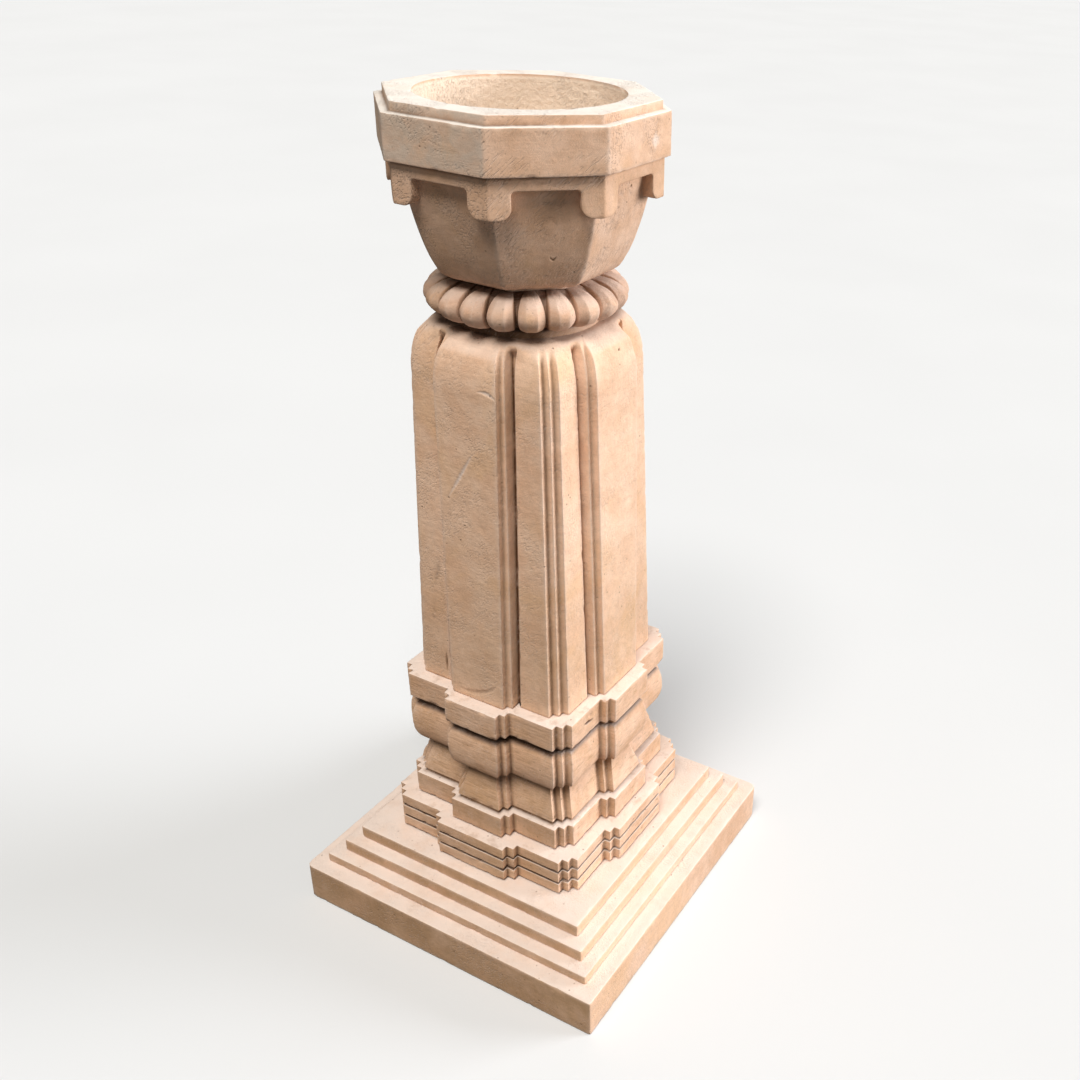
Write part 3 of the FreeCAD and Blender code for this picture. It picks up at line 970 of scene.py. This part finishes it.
def make_layered_courses():
    for name in ("layered_course_lower", "layered_course_middle", "layered_course_upper"):
        bottom, top = levels(name)
        profile = raked_foot(bottom) + [(0.0, top), (-bed_depth / 2, top)]
        # Painted shade in the joints between the slabs
        painted_shade_spans = [(bottom, bottom + joint_height, painted_shade_fade, 1.0)]
        if name != "layered_course_upper":
            painted_shade_spans.append((top, top, painted_shade_fade, 1.0))
        finish_course(name, profile, layered_outline, painted_shade_spans, low_course_stone)


def make_splayed_course():
    """Flat band, ledge, riser, hollow splay and neck."""
    name = "splayed_course"
    bottom, top = levels(name)
    band_top = bottom + band_height
    riser_top = band_top + riser_height
    riser_inset = ledge_width + riser_undercut
    profile = raked_foot(bottom) + [(0.0, band_top), (-riser_inset, band_top), (-riser_inset, riser_top)]
    for rise_share, inset_share in splay_shares:
        inset = ledge_width + (neck_inset - ledge_width) * inset_share
        profile.append((-inset, riser_top + splay_height * rise_share))
    profile += [(-neck_inset, top), (-bed_depth, top)]
    # Painted shade at the foot joint, in the riser's undercut and on the neck under the torus
    painted_shade_spans = ((bottom, bottom + joint_height, painted_shade_fade, 0.4),
            (band_top + painted_shade_fade, riser_top, painted_shade_fade, 0.4),
            (top - painted_shade_reach, top, 2 * painted_shade_reach, 0.9))
    finish_course(name, profile, pedestal_outline, painted_shade_spans, low_course_stone)


def make_torus_course():
    """Half round, deeper at its foot than at its head."""
    name = "torus_course"
    bottom, top = levels(name)
    profile = [(-bed_depth, bottom)]
    for number in range(torus_step_count + 1):
        turn = math.pi * (number / torus_step_count - 1 / 2)
        inset = torus_foot_inset if turn < 0 else torus_head_inset
        profile.append((-inset * (1 - math.cos(turn)), bottom + (top - bottom) * (1 + math.sin(turn)) / 2))
    profile.append((-bed_depth, top))
    # Painted shade on the torus's underside and under the band's recess
    painted_shade_spans = ((bottom, bottom + painted_shade_reach / 2, 2 * painted_shade_reach, 0.9), (top - painted_shade_fade, top, painted_shade_reach, 1.0))
    finish_course(name, profile, pedestal_outline, painted_shade_spans, course_stone)


def make_top_band():
    name = "top_band_course"
    bottom, top = levels(name)
    recess_top = bottom + recess_height
    profile = [(-bed_depth, bottom), (-recess_inset, bottom), (-recess_inset, recess_top), (0.0, recess_top),
               (0.0, top), (-bed_depth, top)]
    # Painted shade in the recess under the band
    painted_shade_spans = ((bottom, recess_top, painted_shade_fade, 1.0),)
    finish_course(name, profile, pedestal_outline, painted_shade_spans, course_stone, top_band_marks)


def collar_ring(ring, half):
    """A smooth collar with rounded corners: a spot in the direction of each spot of a ring, in order."""
    first = math.atan2(ring[0][0].y, ring[0][0].x)
    collar = []
    for turn in sorted((math.atan2(spot.y, spot.x) - first) % math.tau for spot, bend in ring):
        along = Vector((math.cos(first + turn), math.sin(first + turn)))
        reach = (abs(along.x) ** collar_power + abs(along.y) ** collar_power) ** (1 / collar_power)
        collar.append(along * (half / reach))
    return collar


def shaft_bend(spot, bend, plan):
    """The crest of the shaft's outline, with less grime and painted shade in its shallow steps than in its
    grooves.
    """
    half, corner = plan[0], plan[4]
    across = sorted((abs(spot.x), abs(spot.y)))
    if bend < 0 and across[1] > half:
        return bend * shallow_grime_and_shade_share
    if bend < 0 and across[0] > half - 3 * corner:
        return bend * corner_grime_and_shade_share
    return bend


def make_shaft():
    """Straight tapering shaft and the dome over it: bays, piers and reeds turn in and merge into a collar."""
    name = "shaft"
    bottom, top = levels(name)
    dome_top = top - shaft_seat_height
    dome_foot = dome_top - shaft_dome_height
    counts = edge_counts(plan_corners(shaft_foot_plan), mesh_pitch)
    rows = []

    def add_row(plan, level, crest=0.0, work=1.0):
        share = max(0.0, 1 - (dome_top - level) / dome_merge_height)
        merge = share ** 2 * (3 - 2 * share)
        ring = softened(plan_corners(plan), arris_radius * (1 + 2.5 * merge), mesh_pitch, True, counts)
        row = []
        for (spot, bend), collar in zip(ring, collar_ring(ring, plan[0] + plan[2])):
            row.append((spot.lerp(collar, merge), shaft_bend(spot, bend, plan) * (1 - merge) ** 2))
        rows.append((row, level, crest, work))

    add_row(grown(shaft_foot_plan, -bed_depth / 2), bottom, 0.0, 0.0)
    add_row(grown(shaft_foot_plan, -arris_radius), bottom, 0.5, 0.0)
    parts = math.ceil((dome_foot - bottom) / mesh_pitch)
    for number in range(parts + 1):
        share = number / parts
        lift = arris_radius if number == 0 else 0.0
        plan = blended(shaft_foot_plan, shaft_neck_plan, share)
        add_row(plan, bottom + (dome_foot - bottom) * share + lift)
    curve_height = shaft_dome_height + dome_crown_cut
    last = math.asin((shaft_dome_height - dome_crown_height) / curve_height)
    for number in range(1, dome_step_count + 1):
        turn = last * number / dome_step_count
        plan = blended(shaft_neck_plan, shaft_head_plan, 1 - math.cos(turn))
        add_row(plan, dome_foot + curve_height * math.sin(turn))
    lean = (shaft_neck_plan[0] - shaft_head_plan[0]) / curve_height * math.tan(last)
    for number in range(1, crown_step_count + 1):
        share = number / crown_step_count
        inset = dome_crown_height * (2 * share * lean + share ** 2 * (1 - lean))
        level = dome_top - dome_crown_height * (1 - share) ** 2
        # The crown and the seat under the bead ring are darkened: painted shade with some dirt
        add_row(grown(plan, -inset), level, -crown_shade_and_dirt * share)
    for number in range(1, 4):
        inset = dome_crown_height * (1 + lean + number / 2)
        add_row(grown(plan, -inset), dome_top, -seat_shade_and_dirt)
    block = skin(name, rows)
    score(block, name, shaft_marks)
    mesh = joined_mesh(name, block, seat_drum(dome_top - shaft_seat_height / 2, top))
    finish_piece("carved_shaft", mesh, "pedestal", [name], shaft_stone, calm_dress)


def round_ring(radius, sides, crest):
    """A round ring of (spot, crest) pairs."""
    turns = [math.tau * number / sides for number in range(sides)]
    return [(Vector((radius * math.cos(turn), radius * math.sin(turn))), crest) for turn in turns]


def seat_drum(bottom, top):
    """The short round neck between the dome and the bead ring, dark with grime and painted shade."""
    ring = round_ring(shaft_seat_radius, drum_side_count, -seat_shade_and_dirt)
    rows = []
    for part in range(drum_part_count + 1):
        rows.append((ring, bottom + (top - bottom) * part / drum_part_count, -seat_shade_and_dirt, 0.0))
    return skin("seat_drum", rows)


def bead_outline(size_share, width_share):
    """One bead in plan, pointing along +X: two cheeks, two sloping facets and a flat front."""
    half_pitch = math.pi / bead_count * bead_width_share * width_share
    spots = [(bead_facet_share, bead_radius), (bead_shoulder_share, bead_shoulder_radius),
             (1.0, bead_gap_radius)]
    spots = [(-share, radius) for share, radius in reversed(spots)] + spots
    cheek = (bead_inner_radius * math.cos(half_pitch), bead_inner_radius * math.sin(half_pitch))
    corners = [Vector((cheek[0], -cheek[1]))]
    for share, radius in spots:
        reach = radius * size_share
        corners.append(Vector((reach * math.cos(half_pitch * share), reach * math.sin(half_pitch * share))))
    return corners + [Vector(cheek)]


def shaded_bend(spot, bend, size_share):
    """The crest of a bead's outline, darkened with painted shade where it turns into the gap beside the bead.
    """
    sunk = (bead_radius * size_share - spot.length) / ((bead_radius - bead_gap_radius) * size_share)
    shade_share = min(1.0, max(0.0, (sunk - bead_shade_start) / bead_shade_span))
    return bend * (1 - shade_share) - shade_share


def make_bead_ring():
    """One carved bead, set round the axis, on a drum that closes the gaps between beads."""
    name = "bead_ring"
    bottom, top = levels(name)
    seat_share = bead_seat_radius / bead_radius
    counts = edge_counts(bead_outline(1.0, 1.0), mesh_pitch)
    rows, drum_rows = [], []
    for number in range(bead_step_count + 1):
        turn = math.pi * (number / bead_step_count - 1 / 2)
        share = seat_share + (1 - seat_share) * math.cos(turn)
        bulge = abs(math.cos(turn)) ** bead_bulge_power
        width_share = bead_end_width_share + (1 - bead_end_width_share) * bulge
        level = bottom + (top - bottom) * (1 + math.sin(turn)) / 2
        work = 0.0 if number in (0, bead_step_count) else 1.0
        ring = softened(bead_outline(share, width_share), bead_arris_radius, mesh_pitch, True, counts)
        # Painted shade with some grime where the bead turns in to its seats, above and below
        seated = max(0.0, (abs(math.sin(turn)) - bead_seat_start) / (1 - bead_seat_start))
        ring = [(spot, shaded_bend(spot, bend, share) - seated) for spot, bend in ring]
        rows.append((ring, level, -seated, work))
        # The drum in the gaps between beads is painted fully dark: painted shade
        drum = round_ring(bead_gap_radius * share, bead_drum_sides * bead_count, -1.0)
        drum_rows.append((drum, level, -1.0, work))
    bead = bpy.data.objects.new("one_bead", skin("one_bead", rows))
    place_in_scene(bead)
    run_tree(bead, bead_tree, {"Count": bead_count, "First Turn": bead_turn, "Material": bead_stone})
    mesh = joined_mesh(name, bead.data, skin("bead_drum", drum_rows))
    bpy.data.objects.remove(bead)
    finish_piece("carved_bead_ring", mesh, "pedestal", [name], bead_stone, rough_dress)


def ring_of(corners, counts):
    return softened(corners, bowl_arris_radius, bowl_mesh_pitch, True, counts)


def circle_through(ring, radius):
    """A round ring with one point in the direction of each point of another ring."""
    return [(place.normalized() * radius, 0.0) for place, crest in ring]


def flowing(points, parts):
    """A smooth line through points, with each stretch cut into parts."""
    line = [Vector(point) for point in points]
    smooth = []
    for number in range(len(line) - 1):
        first, last = line[number], line[number + 1]
        before = line[max(number - 1, 0)]
        after = line[min(number + 2, len(line) - 1)]
        leave = (last - before) / 2
        arrive = (after - first) / 2
        for part in range(parts):
            share = part / parts
            square, cube = share ** 2, share ** 3
            smooth.append(first * (2 * cube - 3 * square + 1) + leave * (cube - 2 * square + share)
                          + last * (3 * square - 2 * cube) + arrive * (cube - square))
    return smooth + [line[-1]]


def bowl_outside(bottom, top):
    """Outer profile of the bowl as (half width, level): body, rim, ledge and lip."""
    rim_foot = bottom + bowl_body_height
    rim_top = rim_foot + rim_height
    profile = [(bowl_body_half * seat_shares[0][1] - bed_depth, bottom)]
    for rise_share, width_share in list(seat_shares) + flowing(body_shares, body_part_count):
        profile.append((bowl_body_half * width_share, bottom + bowl_body_height * rise_share))
    profile += [(rim_half, rim_foot), (rim_half, rim_top), (lip_half, rim_top), (lip_half, top)]
    return profile


def make_bowl_body(name):
    bottom, top = levels(name)
    counts = edge_counts(octagon_corners(rim_half), bowl_mesh_pitch)
    outside = [Vector(spot) for spot in bowl_outside(bottom, top)]
    outside.append(Vector((mouth_radius / math.cos(math.pi / 8) + arris_radius, top)))
    rows = []
    for place, crest in softened(outside, arris_radius, bowl_mesh_pitch, False):
        work = 0.0 if place.y <= bottom else 1.0
        rows.append((ring_of(octagon_corners(place.x), counts), place.y, crest, work))
    ring = rows[0][0]
    inside = [Vector((mouth_radius + arris_radius, top)), Vector((mouth_radius, top))]
    for depth_share, radius_share in hollow_shares:
        inside.append(Vector((mouth_radius * radius_share, top - hollow_depth * depth_share)))
    inside.append(Vector((mouth_radius * hollow_shares[-1][1] / 2, top - hollow_depth)))
    flat_ring = rows[-1][0]
    mouth_ring = circle_through(ring, mouth_radius + arris_radius)
    for share in (0.25, 0.5, 0.75):
        between = [(a.lerp(b, share), 0.0) for (a, _), (b, _) in zip(flat_ring, mouth_ring)]
        rows.append((between, top, 0.0, 1.0))
    for place, crest in softened(inside, arris_radius, bowl_mesh_pitch, False)[1:]:
        sunk = min(1.0, max(0.0, (top - place.y) / hollow_work_depth - 0.2))
        rows.append((circle_through(ring, place.x), place.y, crest, 1 + (hollow_work - 1) * sunk))
    return skin(name, rows)


def band_outline(rim_foot):
    """One octagon face of the bracket band, seen square on: half a drop, the opening and half a drop."""
    face_half = bracket_half * math.tan(math.pi / 8)
    foot = rim_foot - drop_height
    brow = rim_foot - bracket_height
    side = face_half - drop_half_width
    arc_steps = [math.pi / 2 * number / drop_arc_count for number in range(drop_arc_count + 1)]
    half = [(face_half, rim_foot), (face_half, foot)]
    for turn in arc_steps:
        half.append((side + drop_corner_radius * (1 - math.sin(turn)),
                     foot + drop_corner_radius * (1 - math.cos(turn))))
    for turn in arc_steps:
        half.append((side - bracket_corner_radius * (1 - math.cos(turn)),
                     brow - bracket_corner_radius * (1 - math.sin(turn))))
    return half + [(-across, level) for across, level in reversed(half)]


def make_bracket_band(bottom):
    """The band under the rim with a round-ended drop folded round every corner of the octagon."""
    rim_foot = bottom + bowl_body_height
    face_half = bracket_half * math.tan(math.pi / 8)
    back_share = (bracket_half - bracket_back) / bracket_half
    outline = band_outline(rim_foot)
    band = bmesh.new()
    for number in range(8):
        turn = Matrix.Rotation(number * math.pi / 4, 3, "Z")
        front, back = [], []
        for across, level in outline:
            place = turn @ Vector((bracket_half, across, level))
            if abs(across) >= face_half:
                deep = Vector((place.x * back_share, place.y * back_share, level))
            else:
                deep = turn @ Vector((bracket_half - bracket_back, across, level))
            front.append(band.verts.new(place))
            back.append(band.verts.new(deep))
        band.faces.new(front)
        band.faces.new(list(reversed(back)))
        corner_count = len(outline)
        for spot in range(corner_count):
            after = (spot + 1) % corner_count
            along_corner = abs(outline[spot][0]) >= face_half and outline[spot][0] == outline[after][0]
            if not along_corner:
                band.faces.new((front[spot], back[spot], back[after], front[after]))
    bmesh.ops.remove_doubles(band, verts=band.verts, dist=1e-6)
    bmesh.ops.recalc_face_normals(band, faces=band.faces)
    soften_band(band)
    cut_band(band, rim_foot)
    mesh = bpy.data.meshes.new("bracket_band")
    band.to_mesh(mesh)
    band.free()
    count = len(mesh.vertices)
    # Painted shade along the top of the band, under the rim
    under_rim_shading = [under_rim_shade if point.co.z > rim_foot - joint_height else 0.0 for point in mesh.vertices]
    keep_values(mesh, crest=[0.0] * count, hollow=under_rim_shading, work=[1.0] * count)
    return mesh


def soften_band(band):
    """Wears the front arrises of the band and of its corners."""
    sharp = []
    for edge in band.edges:
        if len(edge.link_faces) == 2 and edge.calc_face_angle() > sharp_turn:
            middle = (edge.verts[0].co + edge.verts[1].co) / 2
            if Vector((middle.x, middle.y)).length > bracket_half - bracket_corner_radius:
                sharp.append(edge)
    bmesh.ops.bevel(band, geom=sharp, offset=arris_radius, offset_type="OFFSET", segments=2, profile=0.5,
                    affect="EDGES", clamp_overlap=True)


def cut_band(band, rim_foot):
    """Cuts the band's large faces into small ones, so that they can be worked."""
    rises = math.ceil(drop_height / mesh_pitch)
    for number in range(1, rises):
        geometry = band.verts[:] + band.edges[:] + band.faces[:]
        level = rim_foot - drop_height * number / rises
        bmesh.ops.bisect_plane(band, geom=geometry, plane_co=(0, 0, level), plane_no=(0, 0, 1))
    for number in range(band_cut_count):
        geometry = band.verts[:] + band.edges[:] + band.faces[:]
        angle = math.pi * (number + 0.5) / band_cut_count
        bmesh.ops.bisect_plane(band, geom=geometry, plane_co=(0, 0, rim_foot),
                               plane_no=(-math.sin(angle), math.cos(angle), 0))


def make_bowl():
    name = "bowl"
    body = make_bowl_body(name)
    score(body, name, bowl_marks)
    mesh = joined_mesh(name, body, make_bracket_band(levels(name)[0]))
    finish_piece("carved_bowl", mesh, "planter_bowl", [name], bowl_stone, calm_dress)


def finish_steel():
    """The rod and the dowel keep their own meshes and get a plain steel with drawn lines."""
    material, tree = new_material("plain_steel")
    place = object_place(tree)
    lines = noise(tree, stretched(tree, place, (1.0, 1.0, 0.03)), 0.0006, 2.0)
    blotches = ramp(tree, noise(tree, place, 0.012, 3.0), 0.35, 0.7)
    bump = node(tree, "ShaderNodeBump", {"Height": lines, "Distance": 0.0001}).outputs[0]
    rough = ramp(tree, lines, 0.3, 0.7, 0.35, 0.55)
    color = mix(tree, blotches, steel_grey, steel_shadow)
    show(tree, {"Base Color": color, "Metallic": 1.0, "Normal": bump, "Roughness": rough})
    for name in ("core_rod", "bowl_dowel"):
        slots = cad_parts[name].data.materials
        slots.clear()
        slots.append(material)


# Stage, light and camera

def make_floor():
    """A plain pale floor that runs past every view. It throws back less light than the view shows."""
    mesh = bpy.data.meshes.new("floor")
    corners = [(-floor_reach, -floor_reach, 0), (floor_reach, -floor_reach, 0),
               (floor_reach, floor_reach, 0), (-floor_reach, floor_reach, 0)]
    mesh.from_pydata(corners, [], [(0, 1, 2, 3)])
    floor = bpy.data.objects.new("floor", mesh)
    place_in_scene(floor)
    material, tree = new_material("pale_floor")
    tone = ramp(tree, noise(tree, object_place(tree), 0.6, 2.0), 0.2, 0.8, *floor_tones)
    seen = node(tree, "ShaderNodeLightPath").outputs["Is Camera Ray"]
    tone = product(tree, tone, ramp(tree, seen, 0.0, 1.0, floor_bounce, 1.0))
    green = product(tree, tone, floor_green_share)
    blue = product(tree, tone, floor_blue_share)
    color = node(tree, "ShaderNodeCombineColor", {0: tone, 1: green, 2: blue}).outputs[0]
    show(tree, {"Base Color": color, "Roughness": 0.9})
    mesh.materials.append(material)


def make_sun(name, direction, strength, softness, color):
    """A soft distant lamp that shines from a direction."""
    lamp = bpy.data.lights.new(name, "SUN")
    lamp.energy = strength
    lamp.angle = softness
    lamp.color = color
    thing = bpy.data.objects.new(name, lamp)
    thing.rotation_euler = Vector(direction).to_track_quat("Z", "Y").to_euler()
    place_in_scene(thing)


def make_light():
    make_sun("key_lamp", key_direction, key_strength, key_softness, key_color)
    make_sun("top_lamp", top_direction, top_strength, top_softness, top_color)
    world = bpy.data.worlds.new("studio")
    world.use_nodes = True
    tree = world.node_tree
    background = tree.nodes["Background"]
    seen = node(tree, "ShaderNodeLightPath").outputs["Is Camera Ray"]
    tree.links.new(mix(tree, seen, sky_light, sky_seen), background.inputs["Color"])
    strength = ramp(tree, seen, 0.0, 1.0, world_strength, world_seen_strength)
    tree.links.new(strength, background.inputs["Strength"])
    bpy.context.scene.world = world


def make_camera():
    """The photograph's view: turned, pitched and rolled as worked out from the plinth and the rim."""
    right = Vector((math.cos(camera_turn), math.sin(camera_turn), 0))
    level_ahead = Vector((-math.sin(camera_turn), math.cos(camera_turn), 0))
    ahead = level_ahead * math.cos(camera_pitch) - Vector((0, 0, math.sin(camera_pitch)))
    up = right.cross(ahead)
    rolled_right = right * math.cos(camera_roll) + up * math.sin(camera_roll)
    rolled_up = up * math.cos(camera_roll) - right * math.sin(camera_roll)
    camera = bpy.data.cameras.new("photo_camera")
    camera.sensor_fit = "HORIZONTAL"
    camera.sensor_width = 36.0
    camera.lens = camera_lens
    camera.shift_x, camera.shift_y = camera_shift
    thing = bpy.data.objects.new("photo_camera", camera)
    turn = Matrix((rolled_right, rolled_up, -ahead)).transposed()
    thing.matrix_world = Matrix.Translation(camera_place) @ turn.to_4x4()
    place_in_scene(thing)
    bpy.context.scene.camera = thing


make_plinth()
make_layered_courses()
make_splayed_course()
make_torus_course()
make_top_band()
make_shaft()
make_bead_ring()
make_bowl()
finish_steel()
make_floor()
make_light()
make_camera()

bpy.context.scene.view_settings.view_transform = "Standard"
